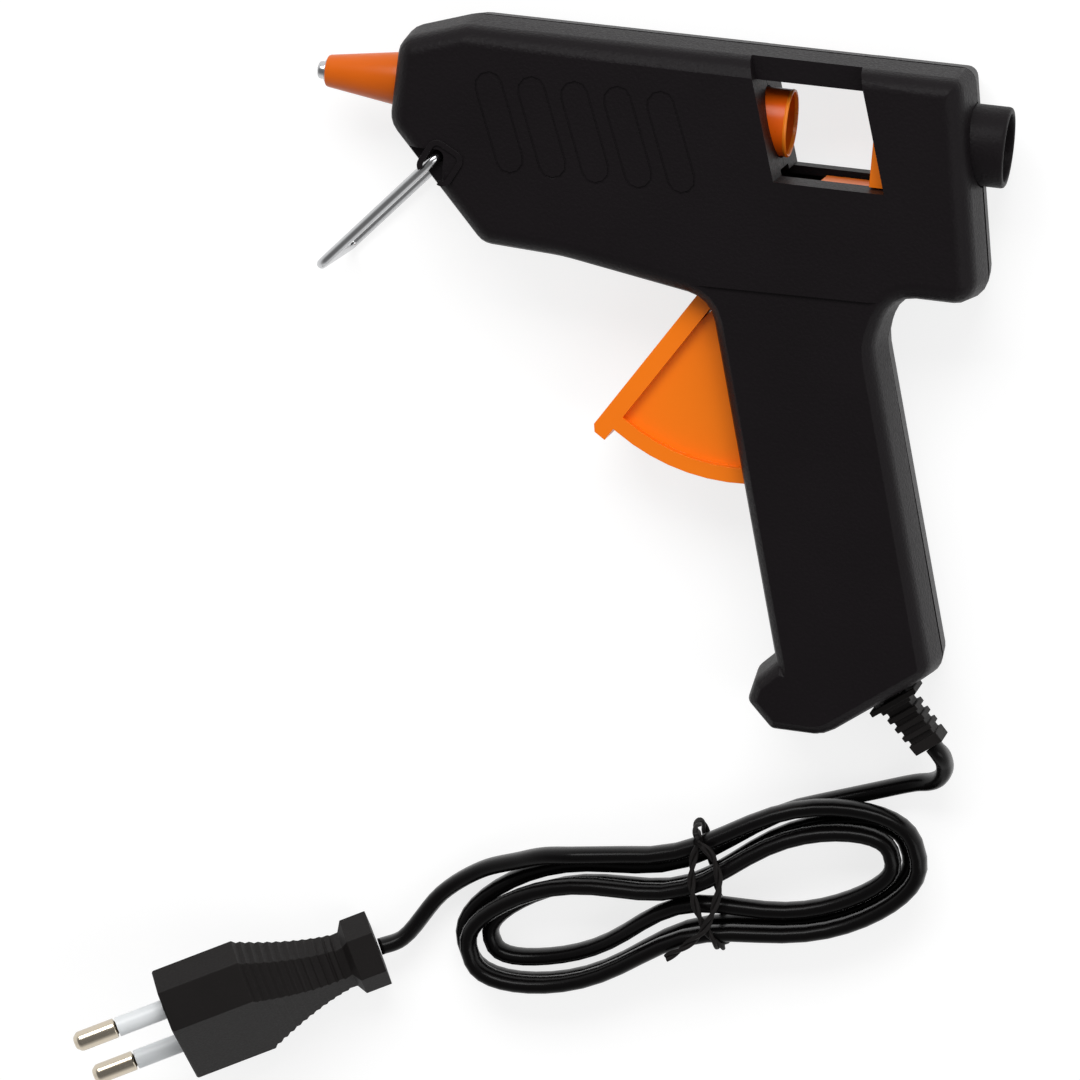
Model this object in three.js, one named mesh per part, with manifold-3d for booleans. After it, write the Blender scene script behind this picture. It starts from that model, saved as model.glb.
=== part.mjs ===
import * as THREE from 'three';
import { mergeVertices } from 'three/addons/utils/BufferGeometryUtils.js';
import Module from 'manifold-3d';

// A hot glue gun lying on its right side, with its cord in a tied hank. Millimetres.
// X runs from the nozzle to the rear, Y towards the gun's top, Z up from the table.
// Everything is drawn from the barrel axis: y = 0, z = 0, and x = 0 at the housing's front.

// Housing
const housingLength = 117;
const housingHeight = 129.7;
const housingHalf = 13;
const barrelDepth = 14.2;
const wall = 2.2;
const partingGap = 0.3;
const fit = 0.3;
const overrun = 1;
const sideDraft = 0.9;
const draftHeight = 9;
const edgeInset = 4.6;
const cornerFacet = 20;
const handleRelief = 0.6;
const creaseFront = 44;
const creaseRear = 35.5;

// Window, its ledges and the bridge above it
const windowSetback = 41.3;
const windowFront = housingLength - windowSetback;
const windowLength = 21;
const windowFloor = 9.3;
const windowTop = 8.9;
const windowRake = 0.303;
const ledgeWall = 1.6;
const nearLedge = 8;
const farLedge = 4;
const bridgeHalf = 8.5;

// Nozzle, chamber and heater
const tipReach = 15.8;
const tipRadius = 1.7;
const tipProud = 1.4;
const nozzleBore = 0.9;
const nozzleShank = 4;
const coneTipRadius = 2.5;
const coneBaseRadius = 5.1;
const sleeveFlange = 6.6;
const flangeThick = 1.4;
const chamberStart = 5;
const chamberEnd = 42;
const chamberRadius = 8;
const chamberBore = 5.9;
const chamberHead = 4;
const ribThick = 2;
const frontRib = 9.5;
const rearRib = 38;
const heaterLength = 20;
const heaterWidth = 8;
const heaterThick = 2.4;
const clipLength = 12;
const clipThick = 0.8;

// Glue path behind the chamber
const feedRadius = 6.4;
const feedWall = 0.5;
const feedReveal = 0.3;
const feedEnd = windowFront + feedReveal;
const inletRadius = 7.65;
const inletWall = 1.3;
const inletDeep = 17;
const inletProud = 0.4;
const inletRibSetback = 13.8;
const inletStart = housingLength - inletDeep;
const inletEnd = housingLength + inletProud;
const inletRib = housingLength - inletRibSetback;
const inletFlange = 9.2;

// Carriage and clamp jaw
const collarSetback = 24;
const collarFront = housingLength - collarSetback;
const collarThick = 5.2;
const collarHalf = 8;
const collarTop = 8;
const collarBore = 6.3;
const plateSetback = 6.7;
const plateFront = windowFront + plateSetback;
const plateThick = 1.2;
const plateSink = 1.1;
const plateNear = 4.4;
const stemLength = 11;
const stemOverlap = 6;
const stemRear = collarFront + stemOverlap;
const stemFront = stemRear - stemLength;
const stemHalf = 3.4;
const tongueThick = 5.4;
const forkLength = 5;
const jawHalf = 1.4;
const jawPinRadius = 1;
const jawPinSet = 3.6;
const jawTooth = 3;

// Trigger
const pivotSetback = 7.03;
const pivotHigh = 5.55;
const driveDrop = 4.87;
const pinRadius = 2;
const hubRadius = 5.2;
const triggerHalf = 5.5;
const webHalf = 3.6;
const armHalf = 2.4;
const armLean = 11;
const armWidth = 5;
const driveRadius = 1.5;
const plateSpan = 42.3;
const plateAngle = 229.8;
const plateThickness = 3.5;
const sectorRadius = 40.4;
const sectorRim = 2.9;
const sectorEnd = 286;
const springWire = 0.9;
const springCoil = 3.9;
const springTurns = 3;

// Wire stand
const standX = 11.1;
const standY = -12;
const wireRadius = 0.95;
const legLength = 31.5;
const legAngle = 228;
const standSwingBack = 40;
const standSwingFront = 45;
const earRadius = 4.6;
const earDepth = 5.5;
const pegLength = 4.5;

// Fasteners
const bossRadius = 4.1;
const screwHead = 2.7;
const screwHeadHigh = 1.9;
const screwShank = 1.35;
const screwLength = 17;
const screwSink = 2;
const driveSlot = 0.8;

// Grip marks on the sides
const markPitch = 8.25;
const markFirst = 26.4;
const markLow = -13.4;
const markTall = 20;
const markWide = 5.5;
const markLean = 21;
const markLine = 0.4;
const markDeep = 0.2;
const markCount = 5;

// Strain relief and the cord inside
const reliefHalf = 3.2;
const reliefDeep = 3.7;
const reliefLength = 12;
const reliefLean = 7;
const reliefFlange = 5;
const reliefNeck = 2.3;
const reliefRibs = 4;
const reliefGroove = 0.7;
const reliefPlace = 0.54;
const cordWide = 5.2;
const cordThick = 3.2;
const innerCord = 14;
const clampLong = 13;
const clampWide = 5;
const clampThick = 2;
const clampScrew = 1.2;
const wireGauge = 0.8;
const wireSpread = 7.6;

// Hank of cord
const hankX = 68.3;
const hankY = -155.5;
const hankTurn = 20.6;
const hankReach = 48.5;
const hankHalf = 16;
const waistHalf = 8.4;
const waistSpread = 0.42;
const lobeShare = 0.75;
const loopPitch = 4.7;
const layerRise = 6;
const loopsInLayer = 1.5;
const stepsPerLoop = 24;
const hankStart = 52;
const hankEnd = 100;
const loopTuck = 1.3;
const tailSpread = 3.6;
const tieWire = 1.1;
const tieLift = 2.4;
const tieTail = 9;
const tieAlong = 5;

// Plug
const plugX = 7.4;
const plugY = -173.7;
const plugTurn = 205.7;
const plugRoll = 57;
const plugWide = 35.3;
const plugThick = 13.7;
const plugBody = 17;
const plugTaper = 19.5;
const collarLong = 6.5;
const collarWide = 16;
const collarBevel = 1.2;
const pinSpacing = 18.6;
const pinLong = 19;
const pinThick = 2;
const sleeveLong = 10;
const sleeveOver = 0.05;
const gripRibs = 12;
const gripDepth = 0.7;
const neckWide = 12.6;
const neckThick = 9.6;
const taperShare = 1.6;

const wasm = await Module();
wasm.setup();
const degrees = Math.PI / 180;

const colours = {
  shell: { color: '#1d1b1c', roughness: 0.62, metalness: 0 },
  orange: { color: '#fc7f0c', roughness: 0.42, metalness: 0 },
  silicone: { color: '#c86404', roughness: 0.35, metalness: 0 },
  steel: { color: '#c6c8ca', roughness: 0.28, metalness: 1 },
  alloy: { color: '#a9abad', roughness: 0.45, metalness: 1 },
  ceramic: { color: '#d8d2c4', roughness: 0.7, metalness: 0 },
  rubber: { color: '#1b1a1b', roughness: 0.7, metalness: 0 },
  cord: { color: '#121112', roughness: 0.25, metalness: 0 },
  white: { color: '#e8ecee', roughness: 0.35, metalness: 0 },
  nickel: { color: '#cfc3ae', roughness: 0.22, metalness: 1 },
  lead: { color: '#2f4f9c', roughness: 0.45, metalness: 0 },
};

const tool = new THREE.Group();
const cordSet = new THREE.Group();

// Basic bodies
function solid(geometry) {
  const bare = geometry.clone();
  bare.deleteAttribute('normal');
  bare.deleteAttribute('uv');
  const merged = mergeVertices(bare, wall / 10000);
  return new wasm.Manifold(new wasm.Mesh({
    numProp: 3,
    vertProperties: Float32Array.from(merged.attributes.position.array),
    triVerts: Uint32Array.from(merged.index.array),
  }));
}

function geometryOf(body) {
  const mesh = body.getMesh();
  const geometry = new THREE.BufferGeometry();
  const places = Float32Array.from(mesh.vertProperties);
  geometry.setAttribute('position', new THREE.BufferAttribute(places, 3));
  geometry.setIndex(new THREE.BufferAttribute(Uint32Array.from(mesh.triVerts), 1));
  geometry.computeVertexNormals();
  return geometry;
}

function add(name, look, shape, parent = tool) {
  const geometry = shape.isBufferGeometry ? shape : geometryOf(shape);
  const mesh = new THREE.Mesh(geometry, new THREE.MeshStandardMaterial(colours[look]));
  mesh.name = name;
  parent.add(mesh);
  return mesh;
}

function prism(points, low, high) {
  const outline = new THREE.Shape(points.map(([x, y]) => new THREE.Vector2(x, y)));
  const geometry = new THREE.ExtrudeGeometry(outline, { depth: high - low, bevelEnabled: false });
  return solid(geometry.translate(0, 0, low));
}

function block(x0, x1, y0, y1, z0, z1) {
  const geometry = new THREE.BoxGeometry(x1 - x0, y1 - y0, z1 - z0);
  return solid(geometry.translate((x0 + x1) / 2, (y0 + y1) / 2, (z0 + z1) / 2));
}

function peg(radius, x, y, low, high, sides = 16) {
  const geometry = new THREE.CylinderGeometry(radius, radius, high - low, sides).rotateX(Math.PI / 2);
  return solid(geometry.translate(x, y, (low + high) / 2));
}

function rod(radius, front, rear, y = 0, z = 0, sides = 28) {
  const geometry = new THREE.CylinderGeometry(radius, radius, rear - front, sides).rotateZ(Math.PI / 2);
  return solid(geometry.translate((front + rear) / 2, y, z));
}

// A ring about the barrel axis; the closed profile is [x, radius] pairs
function turned(profile, sides = 28) {
  const closed = [...profile, profile[0]].map(([x, radius]) => new THREE.Vector2(radius, x));
  return solid(new THREE.LatheGeometry(closed, sides).rotateZ(-Math.PI / 2));
}

// Outline corners as shares of the housing's length and height, with corner radii as
// shares of the height. Depths are measured down from the top.
const cornerShares = [
  [0, 0.165, 0.046], [0.173, 0.331, 0.039], [0.308, 0.337, 0.3], [0.551, 0.372, 0.046],
  [0.711, 0.898, 0.015], [0.716, 1, 0.015], [0.809, 1, 0.062], [0.982, 0.882, 0.031],
  [0.836, 0.406, 0.062], [0.854, 0.338, 0.039], [1, 0.338, 0.039], [0.937, 0, 0.023],
  [0.12, 0, 0.05], [0.007, 0.033, 0.036],
];

// The toe at the front of the handle's foot, a solid nub that the hand rests on
const toeShares = [
  [0.722, 0.878, 0.02], [0.677, 0.919, 0.02], [0.667, 0.957, 0.02], [0.716, 1, 0.02],
  [0.809, 1, 0.03], [0.85, 0.93, 0.03],
];

const placed = (shares) => shares.map(([along, down, round]) => ({
  x: along * housingLength, y: barrelDepth - down * housingHeight, r: round * housingHeight,
}));
const corners = placed(cornerShares);
const toe = placed(toeShares);

// The trigger's pivot stands behind and above the corner where the handle meets the body.
// Its arm reaches the drive pin, which stays a set way below the carriage's plate.
const pivotX = corners[3].x + pivotSetback;
const pivotY = corners[3].y + pivotHigh;
const driveY = -windowFloor - driveDrop;
const driveX = pivotX + (driveY - pivotY) * Math.tan(armLean * degrees);
const armLength = (driveY - pivotY) / Math.cos(armLean * degrees);

// The outline moved inwards by inset; every ring has the same number of points
function outline(inset, shape) {
  const count = shape.length;
  const sides = shape.map((from, i) => {
    const to = shape[(i + 1) % count];
    return new THREE.Vector2(to.x - from.x, to.y - from.y).normalize();
  });
  const points = [];
  shape.forEach((corner, i) => {
    const into = sides[(i + count - 1) % count];
    const out = sides[i];
    const turn = Math.atan2(into.x * out.y - into.y * out.x, into.dot(out));
    const slide = inset * Math.tan(turn / 2);
    const apex = new THREE.Vector2(corner.x - into.y * inset, corner.y + into.x * inset)
      .addScaledVector(into, -slide);
    const round = Math.max(corner.r - inset * Math.sign(turn), fit);
    const tangent = round * Math.tan(Math.abs(turn) / 2);
    const start = apex.clone().addScaledVector(into, -tangent);
    const side = Math.sign(turn);
    const centre = new THREE.Vector2(start.x - into.y * round * side, start.y + into.x * round * side);
    const steps = Math.max(2, Math.ceil(Math.abs(turn) / degrees / cornerFacet));
    for (let step = 0; step <= steps; step += 1) {
      const point = start.clone().rotateAround(centre, turn * step / steps);
      points.push([point.x, point.y]);
    }
  });
  return points;
}

// Rings of equal count joined into a wall and closed by flat caps
function stacked(rings, flat) {
  const count = rings[0].length;
  const faces = [];
  for (let level = 0; level < rings.length - 1; level += 1) {
    for (let i = 0; i < count; i += 1) {
      const next = (i + 1) % count;
      const a = level * count + i;
      const b = level * count + next;
      faces.push(a, b, b + count, a, b + count, a + count);
    }
  }
  const last = (rings.length - 1) * count;
  THREE.ShapeUtils.triangulateShape(rings[0].map(flat), []).forEach(([a, b, c]) => faces.push(a, c, b));
  THREE.ShapeUtils.triangulateShape(rings[rings.length - 1].map(flat), [])
    .forEach(([a, b, c]) => faces.push(last + a, last + b, last + c));
  const geometry = new THREE.BufferGeometry();
  geometry.setAttribute('position', new THREE.Float32BufferAttribute(rings.flat(2), 3));
  geometry.setIndex(faces);
  return geometry;
}

// One half of the housing's form, from the parting plane out to its flat side
function shellForm(levels, shape) {
  const rings = levels.map(({ z, inset }) => outline(inset, shape).map(([x, y]) => [x, y, z]));
  return solid(stacked(rings, ([x, y]) => new THREE.Vector2(x, y)));
}

// Rings of one half: a drafted wall, then a rounded edge that ends in the flat side
const edgeShares = [[0, 0], [0.5, 0.19], [0.82, 0.54], [1, 1]];

function halfForm(side, near, inset, depth, shape = corners) {
  const edge = edgeShares.map(([rise, draw]) => ({
    z: draftHeight + (depth - draftHeight) * rise,
    inset: inset + sideDraft + (edgeInset - sideDraft) * draw,
  }));
  const levels = [{ z: near, inset }, ...edge].map((level) => ({ ...level, z: level.z * side }));
  return shellForm(side > 0 ? levels : levels.reverse(), shape);
}

// A span in z measured outwards on one side
function span(side, near, far) {
  return side > 0 ? [near, far] : [-far, -near];
}

// The window's slanted outline, grown by a margin
function windowOutline(margin, top = windowTop) {
  const low = -windowFloor - margin;
  const high = top + margin;
  const lean = (y) => windowRake * (y + windowFloor);
  const front = windowFront - margin;
  const rear = windowFront + windowLength + margin;
  return [[front - lean(low), low], [rear - lean(low), low], [rear - lean(high), high],
    [front - lean(high), high]];
}

// Screw posts as shares of the housing's length and height
const postShares = [[0.188, 0.279], [0.393, 0.294], [0.932, 0.279], [0.776, 0.66], [0.748, 0.938]];
const posts = postShares.map(([along, down]) => ({
  x: along * housingLength, y: barrelDepth - down * housingHeight,
}));

// The slanted foot of the handle, where the cord comes out
const foot = corners[6];
const heel = corners[7];
const footTurn = Math.atan2(heel.y - foot.y, heel.x - foot.x);
const reliefX = foot.x + (heel.x - foot.x) * reliefPlace;
const reliefY = foot.y + (heel.y - foot.y) * reliefPlace;

// Bodies drawn along -Y from the foot's face are turned and moved onto it
function atFoot(body) {
  return body.rotate([0, 0, footTurn / degrees]).translate([reliefX, reliefY, 0]);
}

// Where the trigger comes out below the body and in front of the handle
function triggerOpening() {
  const half = triggerHalf + fit;
  const reach = sectorRadius + 2 * fit;
  const low = pivotY - reach;
  const body = block(pivotX - hubRadius * 2.6, pivotX + hubRadius * 2, low - overrun,
    pivotY + hubRadius, -half, half);
  return body.intersect(peg(reach + fit, pivotX, pivotY, -half, half, 60));
}

function housing(side) {
  const parting = partingGap / 2;
  const outer = halfForm(side, parting, 0, housingHalf);
  const cavity = halfForm(side, -overrun, wall, housingHalf - wall);
  const full = (near = parting) => span(side, near, housingHalf);
  const ledge = housingHalf - (side > 0 ? nearLedge : farLedge);
  const openTop = barrelDepth + overrun;

  let inner = prism(windowOutline(ledgeWall, openTop), ...full(ledge));
  const frontWall = windowOutline(0, openTop);
  frontWall[1] = [frontWall[0][0] - ledgeWall, frontWall[0][1]];
  frontWall[2] = [frontWall[3][0] - ledgeWall, frontWall[3][1]];
  inner = inner.add(prism([frontWall[0], frontWall[3], frontWall[2], frontWall[1]], ...full()));
  const bridge = windowOutline(ledgeWall, openTop);
  for (const corner of bridge.slice(0, 2)) {
    corner[0] -= windowRake * (windowTop - corner[1]);
    corner[1] = windowTop;
  }
  inner = inner.add(prism(bridge, ...span(side, parting, bridgeHalf)));
  for (const x of [frontRib, rearRib]) {
    const rib = block(x, x + ribThick, -chamberRadius - wall, barrelDepth, ...full());
    inner = inner.add(rib.subtract(rod(chamberRadius + fit, x - overrun, x + ribThick + overrun)));
  }
  const tubeRib = block(inletRib, inletRib + ribThick, -inletFlange - wall, barrelDepth, ...full());
  inner = inner.add(tubeRib.subtract(rod(inletRadius + fit, inletRib - overrun,
    inletRib + ribThick + overrun)));
  for (const post of posts) inner = inner.add(peg(bossRadius, post.x, post.y, ...full()));
  inner = inner.add(peg(hubRadius, pivotX, pivotY, ...full(triggerHalf + springWire * 4)));
  inner = inner.add(peg(earRadius, standX, standY, ...full(housingHalf - earDepth)));

  const nub = halfForm(side, parting, 0, housingHalf, toe);
  let shell = outer.add(nub).subtract(cavity).add(inner.intersect(outer));

  // Window, open at the crest outside the bridge
  const through = [-housingHalf - overrun, housingHalf + overrun];
  shell = shell.subtract(prism(windowOutline(0), ...through));
  const flank = span(side, bridgeHalf, housingHalf + overrun);
  shell = shell.subtract(prism(windowOutline(0, openTop), ...flank));

  // Slot under the carriage, and its collar's run behind the window
  const runHalf = collarHalf + 2 * fit;
  const slotTop = -windowFloor + overrun;
  const slotLow = driveY - tongueThick / 2 - 2 * fit;
  shell = shell.subtract(block(plateFront - armLength, stemRear + 2 * fit, slotLow, slotTop,
    -stemHalf - 2 * fit, stemHalf + 2 * fit));
  shell = shell.subtract(block(windowFront + feedWall, collarFront + collarThick + fit, -windowFloor,
    collarTop + fit, -runHalf, runHalf));

  // Nozzle, feed sleeve and inlet tube
  shell = shell.subtract(rod(coneBaseRadius + fit, -overrun, wall + overrun));
  shell = shell.subtract(rod(sleeveFlange + fit, wall, wall + flangeThick + 2 * fit));
  shell = shell.subtract(rod(feedRadius + fit, rearRib + ribThick + overrun, feedEnd));
  shell = shell.subtract(rod(inletRadius + fit, inletRib + ribThick, housingLength + overrun));

  // Handle side, a little thinner below its crease
  const drop = housingLength;
  shell = shell.subtract(prism([
    [corners[3].x - drop, barrelDepth - creaseFront - handleRelief - drop * windowRake / 2],
    [corners[3].x - drop, -housingHeight], [housingLength + overrun, -housingHeight],
    [housingLength + overrun, barrelDepth - creaseRear - wall * 3],
    [corners[8].x, barrelDepth - creaseRear - wall * 3.2],
    [corners[3].x, barrelDepth - creaseFront - handleRelief],
  ].map(([x, y]) => [x, Math.min(y, barrelDepth - creaseFront)]),
  ...span(side, housingHalf - handleRelief, housingHalf + overrun)));

  shell = shell.subtract(triggerOpening());
  shell = shell.subtract(peg(pinRadius + fit, pivotX, pivotY, -housingHalf + wall, housingHalf - wall));

  // Ears: a hole for the wire's peg and a fan in which the leg swings
  const legZ = housingHalf - wireRadius - fit;
  const fanFloor = legZ - wireRadius - fit;
  shell = shell.subtract(peg(wireRadius + fit, standX, standY,
    ...span(side, housingHalf - earDepth - overrun, housingHalf + overrun)));
  const fan = [];
  const fanReach = earRadius * 4;
  const fanStep = cornerFacet * degrees;
  const fanStart = (legAngle - standSwingFront) * degrees;
  const fanStop = (legAngle + standSwingBack) * degrees;
  for (let angle = fanStart; angle < fanStop + fanStep; angle += fanStep) {
    const turn = Math.min(angle, fanStop);
    fan.push([standX + fanReach * Math.cos(turn), standY + fanReach * Math.sin(turn)]);
  }
  const fanZ = span(side, fanFloor, housingHalf + overrun);
  shell = shell.subtract(prism([[standX, standY], ...fan], ...fanZ));
  const track = block(0, fanReach, -wireRadius - 2 * fit, wireRadius + 2 * fit, ...fanZ);
  for (const limit of [fanStart, fanStop]) {
    shell = shell.subtract(track.rotate([0, 0, limit / degrees]).translate([standX, standY, 0]));
  }
  shell = shell.subtract(peg(wireRadius + 2 * fit, standX, standY, ...fanZ));

  // Strain relief's way out through the foot
  shell = shell.subtract(atFoot(block(-reliefNeck - fit, reliefNeck + fit, -overrun, wall + overrun,
    -reliefDeep + fit, reliefDeep - fit)));

  // Screw holes, with sunk heads on the table side
  for (const post of posts) {
    const hole = screwShank + fit;
    shell = shell.subtract(peg(hole, post.x, post.y, -housingHalf - overrun, housingHalf - wall));
    if (side < 0) {
      shell = shell.subtract(peg(screwHead + fit, post.x, post.y, -housingHalf - overrun,
        -housingHalf + screwSink + screwHeadHigh + fit));
    }
  }
  return shell.subtract(gripMarks(side));
}

// Five leaning ovals, cut as thin lines into the side
function gripMarks(side) {
  const oval = (grow) => {
    const radius = markWide / 2 + grow;
    const steps = 5;
    const arc = (cy, from) => Array.from({ length: steps + 1 }, (_, i) => {
      const turn = from + Math.PI * i / steps;
      return [radius * Math.cos(turn), cy + radius * Math.sin(turn)];
    });
    return [...arc(markTall - markWide / 2, 0), ...arc(markWide / 2, Math.PI)];
  };
  const depth = span(side, housingHalf - markDeep, housingHalf + overrun);
  const island = prism(oval(-markLine), depth[0] - overrun, depth[1] + overrun);
  const mark = prism(oval(0), ...depth).subtract(island);
  let marks = null;
  for (let i = 0; i < markCount; i += 1) {
    const placed = mark.rotate([0, 0, markLean]).translate([markFirst + i * markPitch, markLow, 0]);
    marks = marks ? marks.add(placed) : placed;
  }
  return marks;
}

function makeNozzle() {
  const tipEnd = -tipReach + tipProud;
  const outer = [[-tipReach, tipRadius], [tipEnd, tipRadius], [tipEnd, tipRadius + feedWall],
    [0, nozzleShank - fit], [chamberStart + chamberHead - fit, nozzleShank - fit]];
  const bore = [[chamberStart + chamberHead - fit, nozzleBore * 2], [0, nozzleBore], [-tipReach, nozzleBore]];
  add('nozzle', 'steel', turned([...outer, ...bore]));
  const tip = tipEnd - fit + 2 * fit;
  const seat = wall + fit;
  add('nozzle_sleeve', 'silicone', turned([
    [tip, tipRadius + feedWall + fit], [tip, coneTipRadius + fit], [tip + fit, coneTipRadius + 2 * fit],
    [0, coneBaseRadius], [seat, coneBaseRadius], [seat, sleeveFlange], [seat + flangeThick, sleeveFlange],
    [seat + flangeThick, nozzleShank + fit], [0, nozzleShank + fit],
  ]));
}

function makeChamber() {
  const head = chamberStart + chamberHead;
  add('melt_chamber', 'alloy', turned([
    [chamberStart, nozzleShank], [chamberStart, chamberRadius], [chamberEnd, chamberRadius],
    [chamberEnd, chamberBore], [head, chamberBore], [head, nozzleShank],
  ]));
  const middle = (frontRib + ribThick + rearRib) / 2;
  const top = -chamberRadius - fit;
  const bottom = top - heaterThick;
  add('heater_element', 'ceramic', block(middle - heaterLength / 2, middle + heaterLength / 2, bottom, top,
    -heaterWidth / 2, heaterWidth / 2));
  const ends = [middle - clipLength / 2, middle + clipLength / 2];
  const inside = chamberRadius + fit;
  const outside = inside + clipThick;
  const half = heaterWidth / 2 + fit;
  const shoe = block(...ends, bottom - fit - clipThick, 0, -half - clipThick, half + clipThick);
  const hollow = block(ends[0] - overrun, ends[1] + overrun, bottom - fit, 0, -half, half);
  const round = rod(inside, ends[0] - overrun, ends[1] + overrun);
  add('heater_clip', 'alloy', rod(outside, ...ends).add(shoe).subtract(round).subtract(hollow));
  add('feed_sleeve', 'silicone', turned([
    [chamberEnd + fit, feedRadius - feedWall], [chamberEnd + fit, feedRadius], [feedEnd, feedRadius],
    [feedEnd, feedRadius - feedWall],
  ]));
  const lip = inletRib - fit;
  add('inlet_tube', 'shell', turned([
    [inletStart, inletRadius - inletWall], [inletStart, inletFlange], [lip, inletFlange],
    [lip, inletRadius], [inletEnd - inletWall / 3, inletRadius], [inletEnd, inletRadius - inletWall / 3],
    [inletEnd, inletRadius - inletWall],
  ]));
}

const jawX = collarFront + collarThick / 2;
const jawY = -windowFloor - jawPinSet;

function makeCarriage() {
  const floor = -windowFloor + fit;
  const plateTop = -windowFloor - plateSink;
  let body = block(plateFront, collarFront + collarThick, plateTop - plateThick, plateTop,
    -collarHalf, plateNear);
  body = body.add(block(collarFront, collarFront + collarThick, plateTop - plateThick, 0,
    -collarHalf, plateNear));
  body = body.add(block(collarFront, collarFront + collarThick, floor, collarTop, -collarHalf, collarHalf));
  body = body.subtract(rod(collarBore, collarFront - overrun, collarFront + collarThick + overrun));
  const low = driveY - tongueThick / 2;
  const pinRise = armLength - armLength * Math.cos(armLean * degrees);
  body = body.add(block(stemFront, stemRear, low, plateTop - plateThick / 2, -stemHalf, stemHalf));
  body = body.add(block(driveX - forkLength, stemRear, low, low + tongueThick, -stemHalf, stemHalf));
  const slot = driveRadius + fit;
  body = body.subtract(block(driveX - slot, driveX + slot, low - overrun, driveY + slot + pinRise,
    -stemHalf - overrun, stemHalf + overrun));
  body = body.subtract(block(driveX - forkLength - overrun, driveX + forkLength + 3 * overrun,
    low - overrun, low + tongueThick + overrun, -armHalf - fit, armHalf + fit));
  body = body.subtract(block(jawX - jawTooth, jawX + jawTooth, low - overrun, 0,
    -jawHalf - fit, jawHalf + fit));
  body = body.subtract(peg(jawPinRadius + fit / 2, jawX, jawY, -stemHalf - overrun, stemHalf + overrun, 16));
  add('carriage', 'orange', body);

  const biteY = -feedRadius + feedWall / 2;
  const jaw = prism([
    [jawX - jawPinRadius * 2.2, jawY], [jawX, jawY - jawPinRadius * 2.2], [jawX + jawPinRadius * 2.2, jawY],
    [jawX + jawPinRadius * 2, biteY - overrun], [jawX + jawPinRadius, biteY],
    [jawX - jawPinRadius * 2, biteY - overrun],
  ], -jawHalf, jawHalf);
  add('clamp_jaw', 'alloy', jaw.subtract(peg(jawPinRadius + fit, jawX, jawY, -stemHalf, stemHalf, 16)));
  add('jaw_pin', 'steel', peg(jawPinRadius, jawX, jawY, -stemHalf, stemHalf, 16));
}

function makeTrigger() {
  const at = (radius, angle) => [pivotX + radius * Math.cos(angle * degrees),
    pivotY + radius * Math.sin(angle * degrees)];
  const sector = (outer, inner, half) => {
    const steps = 10;
    const sweep = sectorEnd - plateAngle;
    const arc = Array.from({ length: steps + 1 }, (_, i) => at(outer, plateAngle + sweep * i / steps));
    const back = inner > 0
      ? Array.from({ length: steps + 1 }, (_, i) => at(inner, sectorEnd - sweep * i / steps))
      : [[pivotX, pivotY]];
    return prism([...arc, ...back], -half, half);
  };
  let body = sector(sectorRadius - sectorRim / 2, 0, webHalf);
  body = body.add(sector(sectorRadius, sectorRadius - sectorRim, triggerHalf));
  const [tipX, tipY] = at(plateSpan, plateAngle);
  const swing = plateAngle - Math.acos(hubRadius / plateSpan) / degrees;
  const [topX, topY] = at(hubRadius, swing);
  const [innerX, innerY] = at(hubRadius - plateThickness, swing);
  const offX = innerX - topX;
  const offY = innerY - topY;
  const end = new THREE.Vector2(tipX - topX, tipY - topY).normalize().multiplyScalar(plateThickness / 3);
  body = body.add(prism([
    [topX, topY], [tipX, tipY], [tipX + offX * 0.3 + end.x, tipY + offY * 0.3 + end.y],
    [tipX + offX + end.x, tipY + offY + end.y], [innerX, innerY],
  ], -triggerHalf, triggerHalf));
  body = body.add(peg(hubRadius, pivotX, pivotY, -triggerHalf, triggerHalf));
  const side = new THREE.Vector2(Math.cos(armLean * degrees), -Math.sin(armLean * degrees));
  side.multiplyScalar(armWidth / 2);
  body = body.add(prism([
    [pivotX - side.x, pivotY - side.y], [pivotX + side.x, pivotY + side.y],
    [driveX + side.x / 2, driveY + side.y / 2], [driveX - side.x / 2, driveY - side.y / 2],
  ], -armHalf, armHalf));
  body = body.add(peg(driveRadius, driveX, driveY, -stemHalf + fit, stemHalf - fit, 16));
  const bore = triggerHalf + overrun;
  body = body.subtract(peg(pinRadius + fit / 2, pivotX, pivotY, -bore, bore));
  add('trigger', 'orange', body);
  const pinHalf = housingHalf - wall - fit;
  add('trigger_pin', 'steel', peg(pinRadius, pivotX, pivotY, -pinHalf, pinHalf));

  class Coil extends THREE.Curve {
    getPoint(t, target = new THREE.Vector3()) {
      const turn = t * springTurns * 2 * Math.PI;
      const rise = triggerHalf + springWire + t * (springWire * 2);
      return target.set(pivotX + springCoil * Math.cos(turn), pivotY + springCoil * Math.sin(turn), rise);
    }
  }
  add('trigger_spring', 'steel', tube(new Coil(), springWire / 3, 5, springTurns * 12));
}

// A round tube along a curve
function tube(curve, radius, sides, steps) {
  const ring = new THREE.Shape(Array.from({ length: sides }, (_, i) => new THREE.Vector2(
    radius * Math.cos(2 * Math.PI * i / sides), radius * Math.sin(2 * Math.PI * i / sides))));
  return new THREE.ExtrudeGeometry(ring, { steps, extrudePath: curve, bevelEnabled: false });
}

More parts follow.
